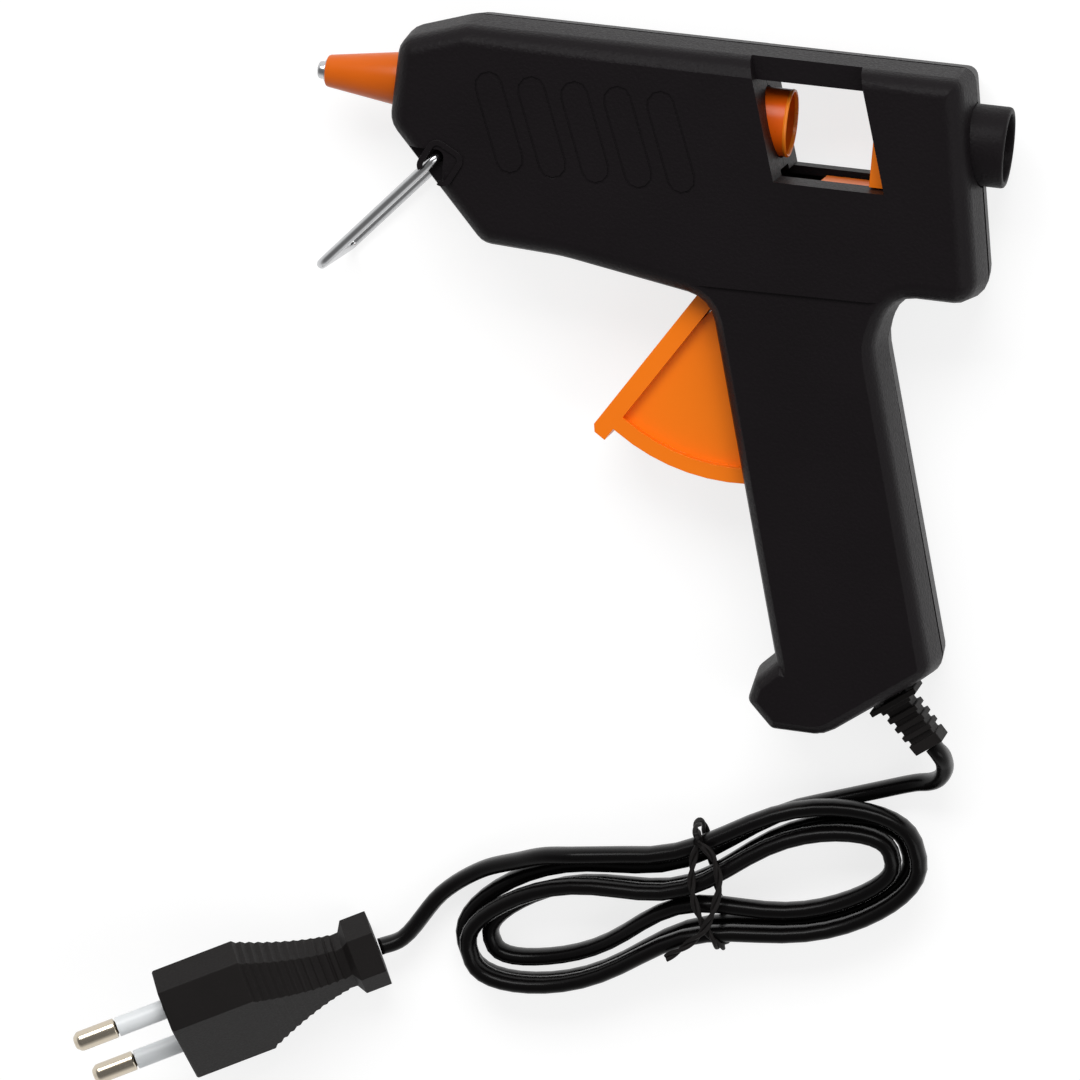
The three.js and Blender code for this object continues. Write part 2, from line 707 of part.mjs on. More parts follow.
function makeStand() {
  const legZ = housingHalf - wireRadius - fit;
  const reach = new THREE.Vector2(Math.cos(legAngle * degrees), Math.sin(legAngle * degrees));
  const at = (along, z) => new THREE.Vector3(standX + reach.x * along, standY + reach.y * along, z);
  const path = new THREE.CurvePath();
  const bend = wireRadius * 2;
  const stops = [at(0, legZ - pegLength), at(0, legZ - bend), at(bend, legZ), at(legLength - bend, legZ),
    at(legLength, legZ - bend), at(legLength, bend - legZ), at(legLength - bend, -legZ), at(bend, -legZ),
    at(0, bend - legZ), at(0, pegLength - legZ)];
  stops.slice(1).forEach((stop, i) => {
    const before = stops[i];
    if (i % 2) {
      const knee = [at(0, legZ), at(legLength, legZ), at(legLength, -legZ), at(0, -legZ)][(i - 1) / 2];
      path.add(new THREE.QuadraticBezierCurve3(before, knee, stop));
    } else path.add(new THREE.LineCurve3(before, stop));
  });
  add('stand', 'steel', tube(path, wireRadius, 8, 40));
}

function makeScrews() {
  posts.forEach((post, i) => {
    const low = -housingHalf + screwSink;
    const top = low + screwHeadHigh;
    let screw = peg(screwHead, post.x, post.y, low, top, 20);
    screw = screw.add(peg(screwShank, post.x, post.y, low + overrun / 2, low + screwLength, 12));
    const long = screwHead * 0.6;
    screw = screw.subtract(block(post.x - long, post.x + long, post.y - driveSlot / 2, post.y + driveSlot / 2,
      low - overrun, low + screwHeadHigh / 2));
    screw = screw.subtract(block(post.x - driveSlot / 2, post.x + driveSlot / 2, post.y - long, post.y + long,
      low - overrun, low + screwHeadHigh / 2));
    add(`housing_screw_${i + 1}`, 'steel', screw);
  });
}

// Relief, clamp and the cord's inner end, drawn down -Y and turned onto the handle's foot
const reliefInner = wall + 4 * fit;
const reliefSlant = Math.tan(reliefLean * degrees);

function makeRelief() {
  const neck = reliefNeck - 2 * fit;
  let body = block(-reliefFlange, reliefFlange, -fit - wall / 2, -fit, -reliefDeep - fit, reliefDeep + fit);
  body = body.add(block(-neck, neck, -wall / 2, reliefInner, -reliefDeep + 3 * fit, reliefDeep - 3 * fit));
  body = body.add(block(-reliefHalf, reliefHalf, reliefInner, reliefInner + wall / 2,
    -reliefDeep + fit, reliefDeep - fit));
  const taper = prism([[-reliefHalf, -wall / 2], [-reliefHalf * 0.92, -reliefLength],
    [reliefHalf * 0.92, -reliefLength], [reliefHalf, -wall / 2]], -reliefDeep, reliefDeep);
  body = body.add(taper);
  const pitch = (reliefLength - wall) / (reliefRibs + 0.5);
  for (let i = 0; i < reliefRibs; i += 1) {
    const y = -wall - i * pitch;
    const cut = block(-reliefFlange, reliefFlange, y - pitch / 2, y, -reliefFlange, reliefFlange);
    const core = block(-reliefHalf + reliefGroove, reliefHalf - reliefGroove, y - pitch, y + pitch,
      -reliefDeep + reliefGroove, reliefDeep - reliefGroove);
    body = body.subtract(cut.subtract(core));
  }
  body = body.warp((point) => {
    point[0] += reliefSlant * Math.max(0, -wall / 2 - point[1]);
  });
  add('strain_relief', 'rubber', atFoot(body), cordSet);

  const start = reliefInner + wall / 2 + fit;
  const end = start + innerCord;
  const inside = block(-cordThick / 2, cordThick / 2, start, end, -cordWide / 2, cordWide / 2);
  add('inner_cord', 'cord', atFoot(inside));
  const middle = (start + end) / 2;
  const clampZ = cordWide / 2 + fit;
  const plate = block(-clampLong / 2, clampLong / 2, middle - clampWide / 2, middle + clampWide / 2,
    clampZ, clampZ + clampThick);
  const screwOff = clampLong / 2 - clampWide / 2;
  const hole = (x) => peg(clampScrew + fit, x, middle, clampZ - overrun, clampZ + clampThick + overrun, 12);
  add('cord_clamp', 'shell', atFoot(plate.subtract(hole(-screwOff)).subtract(hole(screwOff))));
  [-screwOff, screwOff].forEach((x, i) => {
    const head = clampZ + clampThick + fit;
    const screw = peg(clampScrew, x, middle, -clampZ, head + overrun / 2, 12)
      .add(peg(clampScrew * 2, x, middle, head, head + clampThick * 0.8, 16));
    add(`clamp_screw_${i + 1}`, 'steel', atFoot(screw));
  });
  return end;
}

// Two lead wires from the cord's end up the back of the handle to the heater
function makeLeads(innerEnd) {
  const inward = new THREE.Vector2(-Math.sin(footTurn), Math.cos(footTurn));
  const fromX = reliefX + inward.x * (innerEnd + fit);
  const fromY = reliefY + inward.y * (innerEnd + fit);
  const heaterEnd = (frontRib + ribThick + rearRib) / 2 + heaterLength / 2 + 3 * fit;
  const heaterY = -chamberRadius - fit - heaterThick / 2;
  const ledgeLow = -windowFloor - ledgeWall;
  const postTop = posts[1].y + bossRadius;
  [1, -1].forEach((side, i) => {
    const path = new THREE.CatmullRomCurve3([
      [fromX, fromY, side * cordWide / 4],
      [fromX + inward.x * wall * 2, fromY + inward.y * wall * 2, side * cordWide / 2],
      [corners[7].x - wall * 8, corners[7].y + wall * 14, side * wireSpread],
      [corners[8].x - wall * 3.2, corners[8].y - wall * 2, side * wireSpread],
      [corners[8].x - wall * 5, ledgeLow - 3 * wall, side * wireSpread],
      [pivotX, ledgeLow - 2 * wall, side * wireSpread],
      [posts[1].x, postTop + wireGauge + 2 * fit, side * wireSpread],
      [heaterEnd + wall, heaterY - wall * 1.6, side * heaterWidth / 3],
      [heaterEnd, heaterY, side * heaterWidth / 4],
    ].map(([x, y, z]) => new THREE.Vector3(x, y, z)), false, 'centripetal');
    add(`lead_wire_${i + 1}`, 'lead', tube(path, wireGauge, 6, 36));
  });
}

// The hank's centre line: loops spiral inwards on the table, climb, and spiral out on top
const table = -housingHalf;
const hankLoops = 2 * loopsInLayer + (hankEnd - hankStart) / 360;

function hankPoint(travel) {
  const angle = (hankStart + 360 * travel) * degrees;
  const middle = hankLoops / 2;
  const tuck = loopTuck * Math.exp(-((4 * (travel - middle)) ** 2));
  const leave = tailSpread * THREE.MathUtils.smoothstep(travel, hankLoops - 1 / 4, hankLoops + 1 / 16);
  const draw = loopPitch * (middle - Math.abs(travel - middle)) + tuck - leave;
  const climb = THREE.MathUtils.smoothstep(travel, middle - 1 / 8, middle + 1 / 8);
  const waist = Math.exp(-((Math.cos(angle) / waistSpread) ** 2));
  const half = (hankHalf - draw) * (1 - waist) + (waistHalf - draw) * waist;
  const u = (hankReach - draw) * Math.cos(angle);
  const v = Math.sign(Math.sin(angle)) * Math.abs(Math.sin(angle)) ** lobeShare * half;
  const lift = tieLift * waist + fit / 3;
  const turn = hankTurn * degrees;
  return new THREE.Vector3(hankX + u * Math.cos(turn) - v * Math.sin(turn),
    hankY + u * Math.sin(turn) + v * Math.cos(turn), table + cordWide / 2 + lift + layerRise * climb);
}

function hankLine() {
  const steps = Math.round(hankLoops * stepsPerLoop);
  const line = Array.from({ length: steps + 1 }, (_, i) => hankPoint(hankLoops * i / steps));
  const lead = line[0].clone().sub(line[1]).setZ(0).setLength(cordWide).add(line[0]);
  const tail = line[steps].clone().sub(line[steps - 1]).setZ(0).setLength(cordWide).add(line[steps]);
  return [lead, ...line, tail];
}

// The flat cord on edge: a section swept along a line with its long side upright
function sweptCord(line, sides) {
  const rings = line.map((point, i) => {
    const ahead = line[Math.min(i + 1, line.length - 1)].clone().sub(line[Math.max(i - 1, 0)]).normalize();
    if (i === 0) ahead.copy(line[1]).sub(line[0]).normalize();
    if (i === line.length - 1) ahead.copy(point).sub(line[i - 1]).normalize();
    const across = new THREE.Vector3(-ahead.y, ahead.x, 0).normalize();
    const upright = ahead.clone().cross(across);
    const stretch = 1 / Math.cos(Math.PI / sides);
    return Array.from({ length: sides }, (_, side) => {
      const turn = 2 * Math.PI * side / sides;
      return point.clone().addScaledVector(across, Math.cos(turn) * cordThick / 2)
        .addScaledVector(upright, Math.sin(turn) * stretch * cordWide / 2).toArray();
    });
  });
  const step = 2 * Math.PI / sides;
  return stacked(rings, (point, i) => new THREE.Vector2(Math.cos(step * i), Math.sin(step * i)));
}

// Least clear space between turns of the hank, along or above one another
function leastGap(line) {
  const between = 8;
  const points = line.slice(1).flatMap((point, i) => Array.from({ length: between },
    (_, k) => line[i].clone().lerp(point, k / between)));
  let least = Infinity;
  const apart = between * stepsPerLoop / 6;
  points.forEach((a, i) => points.slice(i + apart).forEach((b) => {
    const level = Math.hypot(a.x - b.x, a.y - b.y) - cordThick;
    const above = Math.abs(a.z - b.z) - cordWide;
    least = Math.min(least, Math.max(level, above));
  }));
  return least;
}

function cordTube(points, steps) {
  const curve = new THREE.CatmullRomCurve3(points, false, 'centripetal');
  const section = new THREE.Shape(Array.from({ length: 8 }, (_, i) => new THREE.Vector2(
    cordWide / 2 * Math.cos(Math.PI * i / 4), cordThick / 2 * Math.sin(Math.PI * i / 4))));
  return new THREE.ExtrudeGeometry(section, { steps, extrudePath: curve, bevelEnabled: false });
}

// The plug lies rolled onto its bevelled side. Its collar and the rear of its body both
// touch the table, which tips the pins up
const plugBevel = plugThick / 2 / Math.tan(plugRoll * degrees);
const bodyLow = plugWide / 2 * Math.sin(plugRoll * degrees);
const collarLow = collarWide / 2 * Math.sin(plugRoll * degrees);
const plugTip = Math.atan2(bodyLow - collarLow, collarLong + plugTaper);
const plugHigh = table + collarLow * Math.cos(plugTip);
const plugAxis = new THREE.Vector3(Math.cos(plugTurn * degrees) * Math.cos(plugTip),
  Math.sin(plugTurn * degrees) * Math.cos(plugTip), Math.sin(plugTip));

const leadRoute = [[116.1, -119.1, -1.6], [116.3, -121.5, -3.4], [115.3, -123.7, -5.3], [113.4, -125.2, -7.1],
  [110.2, -126.3, -8.6]];
const tailRoute = [[39.5, -149.6, -3.6], [34, -152, -6], [26.4, -155.6, -8.8], [18.6, -161.9, -10.2]];

function makeCord(parent) {
  const line = hankLine();
  console.log(`least gap in the hank: ${leastGap(line).toFixed(2)} mm`);
  add('cord_hank', 'cord', sweptCord(line, 6), parent);
  const end = line.length - 1;
  const start = line[0].clone().sub(line[1]).normalize();
  const finish = line[end].clone().sub(line[end - 1]).normalize();
  const down = new THREE.Vector3(Math.sin(footTurn), -Math.cos(footTurn), 0);
  const along = new THREE.Vector3(Math.cos(footTurn), Math.sin(footTurn), 0);
  const boot = new THREE.Vector3(reliefX, reliefY, 0).addScaledVector(down, reliefLength + fit)
    .addScaledVector(along, reliefSlant * (reliefLength + fit - wall / 2));
  down.addScaledVector(along, reliefSlant).normalize();
  const place = (point) => new THREE.Vector3(...point);
  const lead = [boot, boot.clone().addScaledVector(down, cordThick / 2), ...leadRoute.map(place),
    line[0].clone().addScaledVector(start, fit + cordWide), line[0].clone().addScaledVector(start, fit)];
  add('cord_lead', 'cord', cordTube(lead, 24), parent);
  const socket = new THREE.Vector3(plugX, plugY, plugHigh);
  const tail = [line[end].clone().addScaledVector(finish, fit),
    line[end].clone().addScaledVector(finish, fit + cordWide), ...tailRoute.map(place),
    socket.clone().addScaledVector(plugAxis, -fit - cordWide),
    socket.clone().addScaledVector(plugAxis, -fit)];
  add('cord_tail', 'cord', cordTube(tail, 24), parent);
}

// A wire tie once round the waist, both ends lying over the front
function makeTie(parent) {
  const low = table + tieWire / 2 + 2 * fit;
  const high = table + tieLift + cordWide + layerRise + tieWire + 2 * fit;
  const back = waistHalf + tailSpread + cordThick / 2 + tieWire;
  const front = -waistHalf - tieWire;
  const side = tieWire * 1.2;
  const soft = tieWire * 1.6;
  const stops = [[-side * 2, front - tieTail, low + tieWire], [-side, front - tieTail / 3, high / 2],
    [-side, front, high - soft], [-side, front + soft, high], [-side, 0, high], [-side, back - soft, high],
    [-side / 2, back, high - soft], [-side / 3, back, low + soft], [0, back - soft, low], [0, 0, low],
    [0, front + soft, low], [side / 3, front, low + soft], [side / 2, front, high - soft * 2],
    [side, front + soft, high], [side * 1.5, front + soft * 2, high + tieWire],
    [side * 2, front - tieTail / 5, high - tieWire * 2], [side * 3, front - tieTail * 0.6, high / 2]];
  const turn = hankTurn * degrees;
  const path = new THREE.CatmullRomCurve3(stops.map(([u, v, z]) => new THREE.Vector3(
    hankX + (u + tieAlong) * Math.cos(turn) - v * Math.sin(turn),
    hankY + (u + tieAlong) * Math.sin(turn) + v * Math.cos(turn), z)), false, 'centripetal');
  add('twist_tie', 'cord', tube(path, tieWire / 2, 6, 60), parent);
}

// Plug, drawn from its collar along +X, bevelled at both narrow sides
function plugSection(x, wide, thick) {
  const y = wide / 2;
  const z = thick / 2;
  const flatY = Math.max(y - plugBevel * thick / plugThick, wide / gripRibs);
  return [[y, 0], [flatY, z], [0, z], [-flatY, z], [-y, 0], [-flatY, -z], [0, -z], [flatY, -z]]
    .map(([a, b]) => [x, a, b]);
}

function makePlug(parent) {
  const plug = new THREE.Group();
  plug.position.set(plugX, plugY, plugHigh);
  plug.rotation.set(-plugRoll * degrees, -plugTip, plugTurn * degrees, 'ZYX');
  parent.add(plug);
  const bodyStart = collarLong + plugTaper;
  const front = bodyStart + plugBody;
  const sections = [plugSection(0, collarWide, plugThick),
    plugSection(collarLong - collarBevel, collarWide, plugThick),
    plugSection(collarLong, neckWide, neckThick)];
  const step = plugTaper / gripRibs;
  for (let i = 1; i < gripRibs; i += 1) {
    const grown = (i / gripRibs) ** taperShare;
    const wide = neckWide + (plugWide - neckWide) * grown;
    const thick = neckThick + (plugThick - neckThick) * i / gripRibs;
    const x = collarLong + i * step;
    sections.push(plugSection(x, wide - 2 * gripDepth, thick));
    sections.push(plugSection(x + step / 4, wide, thick));
    sections.push(plugSection(x + step * 3 / 4, wide, thick));
  }
  sections.push(plugSection(bodyStart + fit, plugWide, plugThick));
  sections.push(plugSection(front - fit, plugWide, plugThick));
  sections.push(plugSection(front, plugWide - 2 * fit, plugThick - 2 * fit));
  const spot = (point, i) => new THREE.Vector2(Math.cos(Math.PI * i / 4), Math.sin(Math.PI * i / 4));
  let body = solid(stacked(sections, spot));
  const tip = front + pinLong;
  const core = pinThick * 0.6;
  const root = front - plugBody / 3;
  [pinSpacing / 2, -pinSpacing / 2].forEach((y, i) => {
    body = body.subtract(rod(core + fit, root - fit, front + overrun, y, 0, 16));
    const sleeve = rod(pinThick - sleeveOver, front + fit, front + sleeveLong, y, 0, 20)
      .subtract(rod(core + fit, front, front + sleeveLong + overrun, y, 0, 16));
    add(`pin_sleeve_${i + 1}`, 'white', sleeve, plug);
    const nose = new THREE.CylinderGeometry(pinThick * 0.55, pinThick, overrun, 20).rotateZ(-Math.PI / 2)
      .translate(tip - overrun / 2, y, 0);
    const pin = rod(core, root, front + sleeveLong + overrun, y, 0, 16)
      .add(rod(pinThick, front + sleeveLong + fit, tip - overrun, y, 0, 20)).add(solid(nose));
    add(`plug_pin_${i + 1}`, 'nickel', pin, plug);
  });
  add('plug_body', 'rubber', body, plug);
}

for (const [name, side] of [['housing_left', 1], ['housing_right', -1]]) add(name, 'shell', housing(side));
makeNozzle();
makeChamber();
makeCarriage();
makeTrigger();
makeStand();
makeScrews();
makeLeads(makeRelief());

makeCord(cordSet);
makeTie(cordSet);
makePlug(cordSet);

// The origin lies under the middle of the tool, on the table
const part = new THREE.Group();
const toolBox = new THREE.Box3().setFromObject(tool);
const middle = toolBox.getCenter(new THREE.Vector3());
part.add(tool, cordSet);
part.position.set(-middle.x, -middle.y, -toolBox.min.z);

export default part;
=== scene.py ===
"""A hot glue gun with an orange trigger, on its side with its tied cord and flat two-pin plug."""
import math

import bmesh
import bpy
from mathutils import Matrix, Vector


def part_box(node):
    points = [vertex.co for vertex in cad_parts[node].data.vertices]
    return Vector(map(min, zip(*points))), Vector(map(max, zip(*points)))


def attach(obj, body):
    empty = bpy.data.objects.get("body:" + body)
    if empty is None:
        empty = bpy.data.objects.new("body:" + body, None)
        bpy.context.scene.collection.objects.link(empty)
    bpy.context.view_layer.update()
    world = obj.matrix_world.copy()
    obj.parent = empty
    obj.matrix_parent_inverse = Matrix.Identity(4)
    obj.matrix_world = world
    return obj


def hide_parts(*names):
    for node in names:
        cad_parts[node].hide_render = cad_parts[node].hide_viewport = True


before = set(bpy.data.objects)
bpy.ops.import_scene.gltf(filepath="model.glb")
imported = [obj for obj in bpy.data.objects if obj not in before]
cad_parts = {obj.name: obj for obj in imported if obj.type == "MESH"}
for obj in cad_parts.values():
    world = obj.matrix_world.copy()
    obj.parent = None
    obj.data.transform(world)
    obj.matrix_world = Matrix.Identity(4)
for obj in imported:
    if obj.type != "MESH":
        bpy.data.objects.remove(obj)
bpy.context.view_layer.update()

# View: the camera hangs 1.2 m over the middle of the tool's face, leaning a little
# towards its rear and its top, with a long lens, as in the photograph.
VIEW_DISTANCE = 1.2
VIEW_SCALE = 5200.0
LEAN_REAR = math.radians(11.4)
LEAN_TOP = math.radians(13.4)
ROLL = math.radians(7.3)
PHOTO_WIDTH = 1080

nose_low, nose_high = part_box("nozzle")
NOZZLE_REACH = 0.0158
nose_middle = (Vector(nose_low) + Vector(nose_high)) / 2
barrel = Vector((nose_low[0] + NOZZLE_REACH, nose_middle.y, nose_middle.z))
view_centre = barrel + Vector((0.0345, -0.086, 0))

toward = Vector((math.tan(LEAN_REAR), math.tan(LEAN_TOP), 1)).normalized()
upright = (Vector((0, 1, 0)) - toward * toward.y).normalized()
rightward = upright.cross(toward)
heading = math.atan2(upright.x, rightward.x) + ROLL
right_axis = rightward * math.cos(heading) + upright * math.sin(heading)
up_axis = upright * math.cos(heading) - rightward * math.sin(heading)

camera_data = bpy.data.cameras.new("camera")
camera_data.lens = camera_data.sensor_width * VIEW_DISTANCE * VIEW_SCALE / PHOTO_WIDTH
camera_data.clip_end = 20
camera = bpy.data.objects.new("camera", camera_data)
bpy.context.scene.collection.objects.link(camera)
turned = Matrix((right_axis, up_axis, toward)).transposed().to_4x4()
camera.matrix_world = Matrix.Translation(view_centre + toward * VIEW_DISTANCE) @ turned
bpy.context.scene.camera = camera


# Cord: flat two-core mains cord in glossy black PVC. It leaves the boot, drops to the
# table, runs three loops of a tied hank on edge and ends in the plug.
def smoothstep(value, low, high):
    share = min(max((value - low) / (high - low), 0), 1)
    return share * share * (3 - 2 * share)


CORD_WIDE = 0.0052
CORD_THICK = 0.0032
CORD_GAP = 0.0003
CORD_SIDES = 20
FLANK_POWER = 0.75
CROWN_POWER = 0.85
HANK_CENTRE = (0.0683, -0.1555)
HANK_TURN = math.radians(20.6)
HANK_REACH = 0.0485
HANK_HALF = 0.016
WAIST_HALF = 0.0084
WAIST_SPREAD = 0.42
LOBE_SHARE = 0.75
LOOP_PITCH = 0.0047
LAYER_RISE = 0.006
HANK_START = 52
HANK_END = 100
HANK_TURNS = 3
LOOP_TUCK = 0.0013
TAIL_SPREAD = 0.0036
TIE_LIFT = 0.0024
HOUSING_HALF = 0.013
PLUG_AT = (0.0074, -0.1737)
PLUG_TURN = math.radians(205.7)
PLUG_ROLL = math.radians(57)
PLUG_WIDE = 0.0353
COLLAR_WIDE = 0.016
COLLAR_TO_BODY = 0.026
hank_loops = HANK_TURNS + (HANK_END - HANK_START) / 360
collar_low = COLLAR_WIDE / 2 * math.sin(PLUG_ROLL)
plug_tip = math.atan2(PLUG_WIDE / 2 * math.sin(PLUG_ROLL) - collar_low, COLLAR_TO_BODY)
plug_rise = collar_low * math.cos(plug_tip) - HOUSING_HALF
plug_axis = Vector((math.cos(PLUG_TURN) * math.cos(plug_tip), math.sin(PLUG_TURN) * math.cos(plug_tip),
                    math.sin(plug_tip)))

lead_route = [(0.1161, -0.1191, -0.0016), (0.1163, -0.1215, -0.0034), (0.1153, -0.1237, -0.0053),
              (0.1134, -0.1252, -0.0071), (0.1102, -0.1263, -0.0086)]
tail_route = [(0.0395, -0.1496, -0.0036), (0.034, -0.152, -0.006), (0.0264, -0.1556, -0.0088),
              (0.0186, -0.1619, -0.0102)]


def hank_point(travel):
    angle = math.radians(HANK_START + 360 * travel)
    middle = hank_loops / 2
    tuck = LOOP_TUCK * math.exp(-((4 * (travel - middle)) ** 2))
    leave = TAIL_SPREAD * smoothstep(travel, hank_loops - 1 / 4, hank_loops + 1 / 16)
    draw = LOOP_PITCH * (middle - abs(travel - middle)) + tuck - leave
    climb = smoothstep(travel, middle - 1 / 8, middle + 1 / 8)
    waist = math.exp(-((math.cos(angle) / WAIST_SPREAD) ** 2))
    half = (HANK_HALF - draw) * (1 - waist) + (WAIST_HALF - draw) * waist
    along = (HANK_REACH - draw) * math.cos(angle)
    across = math.copysign(abs(math.sin(angle)) ** LOBE_SHARE, math.sin(angle)) * half
    turn, tilt = math.cos(HANK_TURN), math.sin(HANK_TURN)
    rise = CORD_WIDE / 2 + TIE_LIFT * waist + CORD_GAP / 3 + LAYER_RISE * climb - HOUSING_HALF
    return Vector((HANK_CENTRE[0] + along * turn - across * tilt,
                   HANK_CENTRE[1] + along * tilt + across * turn, rise))


def smooth_route(points, steps):
    """A centripetal curve through the points, sampled evenly between each pair."""
    ends = [points[0] * 2 - points[1], *points, points[-1] * 2 - points[-2]]
    route = []
    for before, start, end, after in zip(ends, ends[1:], ends[2:], ends[3:]):
        knots = [0.0]
        for first, second in ((before, start), (start, end), (end, after)):
            knots.append(knots[-1] + math.sqrt((second - first).length))
        k0, k1, k2, k3 = knots
        for step in range(steps):
            t = k1 + (k2 - k1) * step / steps
            a1 = before * ((k1 - t) / (k1 - k0)) + start * ((t - k0) / (k1 - k0))
            a2 = start * ((k2 - t) / (k2 - k1)) + end * ((t - k1) / (k2 - k1))
            a3 = end * ((k3 - t) / (k3 - k2)) + after * ((t - k2) / (k3 - k2))
            b1 = a1 * ((k2 - t) / (k2 - k0)) + a2 * ((t - k0) / (k2 - k0))
            b2 = a2 * ((k3 - t) / (k3 - k1)) + a3 * ((t - k1) / (k3 - k1))
            route.append(b1 * ((k2 - t) / (k2 - k1)) + b2 * ((t - k1) / (k2 - k1)))
    return [*route, points[-1]]


BOOT_PLACE = 0.54
BOOT_LENGTH = 0.012
BOOT_ROOT = 0.0011
BOOT_SLANT = math.tan(math.radians(7))
HOUSING_LONG = 0.117
HOUSING_TALL = 0.1297
HOUSING_TOP = 0.0142
FOOT_LOW = (0.809, 1)
FOOT_HIGH = (0.982, 0.882)
foot_low, foot_high = (Vector((along * HOUSING_LONG, HOUSING_TOP - down * HOUSING_TALL, 0))
                       for along, down in (FOOT_LOW, FOOT_HIGH))
foot_run = (foot_high - foot_low).normalized()
foot_out = Vector((foot_run.y, -foot_run.x, 0))
boot_root = foot_low.lerp(foot_high, BOOT_PLACE)
boot_end = boot_root + foot_out * (BOOT_LENGTH + CORD_GAP)
boot_end += foot_run * BOOT_SLANT * (BOOT_LENGTH + CORD_GAP - BOOT_ROOT)
boot_way = (foot_out + foot_run * BOOT_SLANT).normalized()

HANK_STEPS = 60
ROUTE_STEPS = 6
count = round(hank_loops * HANK_STEPS)
hank_line = [hank_point(hank_loops * i / count) for i in range(count + 1)]
hank_in = hank_line[0] - hank_line[1]
hank_out = hank_line[-1] - hank_line[-2]
hank_in.z = hank_out.z = 0
lead_end = hank_line[0] + hank_in.normalized() * CORD_WIDE
tail_start = hank_line[-1] + hank_out.normalized() * CORD_WIDE
socket = Vector((*PLUG_AT, plug_rise))
lead_points = [boot_end, boot_end + boot_way * CORD_THICK / 2, *map(Vector, lead_route),
               lead_end + hank_in.normalized() * CORD_WIDE, lead_end]
tail_points = [tail_start, tail_start + hank_out.normalized() * CORD_WIDE, *map(Vector, tail_route),
               socket - plug_axis * CORD_WIDE, socket - plug_axis * CORD_GAP]
cord_line = [point + barrel for point in
             smooth_route(lead_points, ROUTE_STEPS) + hank_line + smooth_route(tail_points, ROUTE_STEPS)]


def flat_tube(name, line, wide, thick, sides=CORD_SIDES):
    """A flat cord on edge: one oval section carried along the line, long side upright."""
    form = bmesh.new()
    rings = []
    for i, point in enumerate(line):
        ahead = (line[min(i + 1, len(line) - 1)] - line[max(i - 1, 0)]).normalized()
        across = Vector((-ahead.y, ahead.x, 0)).normalized()
        high = ahead.cross(across)
        ring = []
        for side in range(sides):
            turn = 2 * math.pi * side / sides
            flank = math.copysign(abs(math.cos(turn)) ** FLANK_POWER, math.cos(turn))
            crown = math.copysign(abs(math.sin(turn)) ** CROWN_POWER, math.sin(turn))
            ring.append(form.verts.new(point + across * flank * thick / 2 + high * crown * wide / 2))
        rings.append(ring)
    for first, second in zip(rings, rings[1:]):
        for side in range(sides):
            after = (side + 1) % sides
            form.faces.new((first[side], first[after], second[after], second[side]))
    form.faces.new(list(reversed(rings[0])))
    form.faces.new(rings[-1])
    bmesh.ops.recalc_face_normals(form, faces=form.faces)
    mesh = bpy.data.meshes.new(name)
    form.to_mesh(mesh)
    form.free()
    mesh.shade_smooth()
    piece = bpy.data.objects.new(name, mesh)
    bpy.context.scene.collection.objects.link(piece)
    return piece


def grain_group():
    """Fine moulded grain: a height for bump and a mask for tone, both from one noise."""
    group = bpy.data.node_groups.new("moulded grain", "ShaderNodeTree")
    group.interface.new_socket("Cell", in_out="INPUT", socket_type="NodeSocketFloat")
    group.interface.new_socket("Blotch", in_out="INPUT", socket_type="NodeSocketFloat")
    group.interface.new_socket("Height", in_out="OUTPUT", socket_type="NodeSocketFloat")
    group.interface.new_socket("Mask", in_out="OUTPUT", socket_type="NodeSocketFloat")
    nodes, links = group.nodes, group.links
    entry, leave = nodes.new("NodeGroupInput"), nodes.new("NodeGroupOutput")
    place = nodes.new("ShaderNodeTexCoord")
    fine, broad = nodes.new("ShaderNodeTexNoise"), nodes.new("ShaderNodeTexNoise")
    fine.inputs["Detail"].default_value = 3
    broad.inputs["Detail"].default_value = 2
    for noise, name in ((fine, "Cell"), (broad, "Blotch")):
        links.new(place.outputs["Object"], noise.inputs["Vector"])
        links.new(entry.outputs[name], noise.inputs["Scale"])
    links.new(fine.outputs["Fac"], leave.inputs["Height"])
    links.new(broad.outputs["Fac"], leave.inputs["Mask"])
    return group


grain = grain_group()


def finish(name, colour, tint, rough, rough_spread=0.08, cell=2500, blotch=60, bump=0.1, bump_size=0.00005,
           metal=0.0, coat=0.0, transmission=0.0, gloss=0.5):
    """A finish whose tone and roughness drift over the surface, with a fine grain in relief."""
    material = bpy.data.materials.new(name)
    material.use_nodes = True
    nodes, links = material.node_tree.nodes, material.node_tree.links
    shader = nodes["Principled BSDF"]
    shader.inputs["Metallic"].default_value = metal
    shader.inputs["Specular IOR Level"].default_value = gloss
    shader.inputs["Coat Weight"].default_value = coat
    shader.inputs["Coat Roughness"].default_value = 0.12
    shader.inputs["Transmission Weight"].default_value = transmission
    pattern = nodes.new("ShaderNodeGroup")
    pattern.node_tree = grain
    pattern.inputs["Cell"].default_value = cell
    pattern.inputs["Blotch"].default_value = blotch
    tone = nodes.new("ShaderNodeMix")
    tone.data_type = "RGBA"
    tone.inputs["A"].default_value = (*colour, 1)
    tone.inputs["B"].default_value = (*tint, 1)
    links.new(pattern.outputs["Mask"], tone.inputs["Factor"])
    links.new(tone.outputs["Result"], shader.inputs["Base Color"])
    spread = nodes.new("ShaderNodeMapRange")
    spread.inputs["To Min"].default_value = rough - rough_spread
    spread.inputs["To Max"].default_value = rough + rough_spread
    links.new(pattern.outputs["Height"], spread.inputs["Value"])
    links.new(spread.outputs["Result"], shader.inputs["Roughness"])
    relief = nodes.new("ShaderNodeBump")
    relief.inputs["Strength"].default_value = bump
    relief.inputs["Distance"].default_value = bump_size
    links.new(pattern.outputs["Height"], relief.inputs["Height"])
    links.new(relief.outputs["Normal"], shader.inputs["Normal"])
    return material


